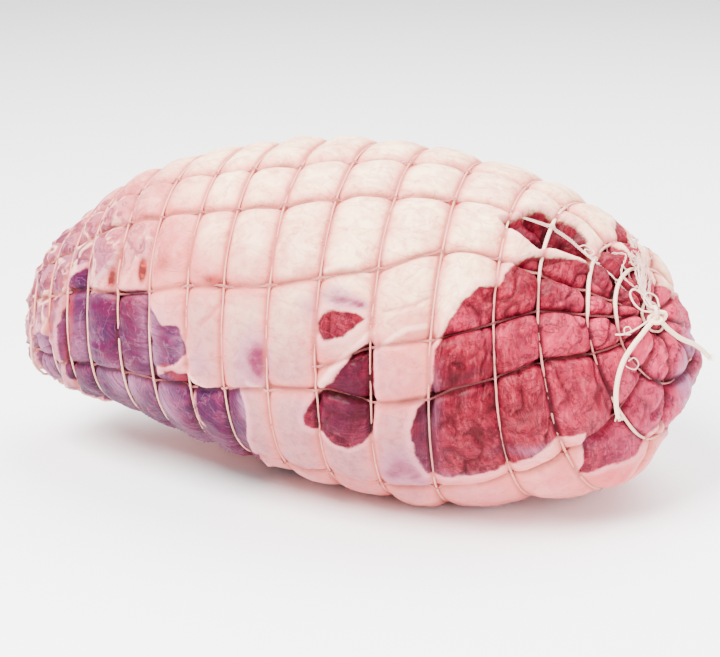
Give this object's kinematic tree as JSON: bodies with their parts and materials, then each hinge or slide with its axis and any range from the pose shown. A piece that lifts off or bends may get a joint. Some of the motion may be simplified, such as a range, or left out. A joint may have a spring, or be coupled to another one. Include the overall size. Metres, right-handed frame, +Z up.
{
  "type": "boned rolled leg of lamb",
  "caption": "Raw boned leg of lamb, rolled into a tapered barrel and held in an elastic net that dents it into rows of pillows, gathered and knotted at the cut end.",
  "frame": {"origin": "middle of the box of the meat and its net in plan, on the plane of the surface it lies on", "axes": "+X along the joint from the shank end to the cut end with the knot, +Y from the front with the open pocket to the back, +Z up"},
  "size_m": [0.2458, 0.1332, 0.118],
  "materials": {
    "raw_lamb": "moist raw meat with cream fat cover and red lean",
    "elastic_net": "cream elastic cord hoops with thin knitted strands",
    "cotton_tie": "loose twisted cream cord with frayed ends"
  },
  "bodies": {
    "root": {"joint": "raw_lamb", "net": "elastic_net", "tie_knot": "cotton_tie", "tail_front": "cotton_tie", "tail_side": "cotton_tie"}
  },
  "joints": []
}
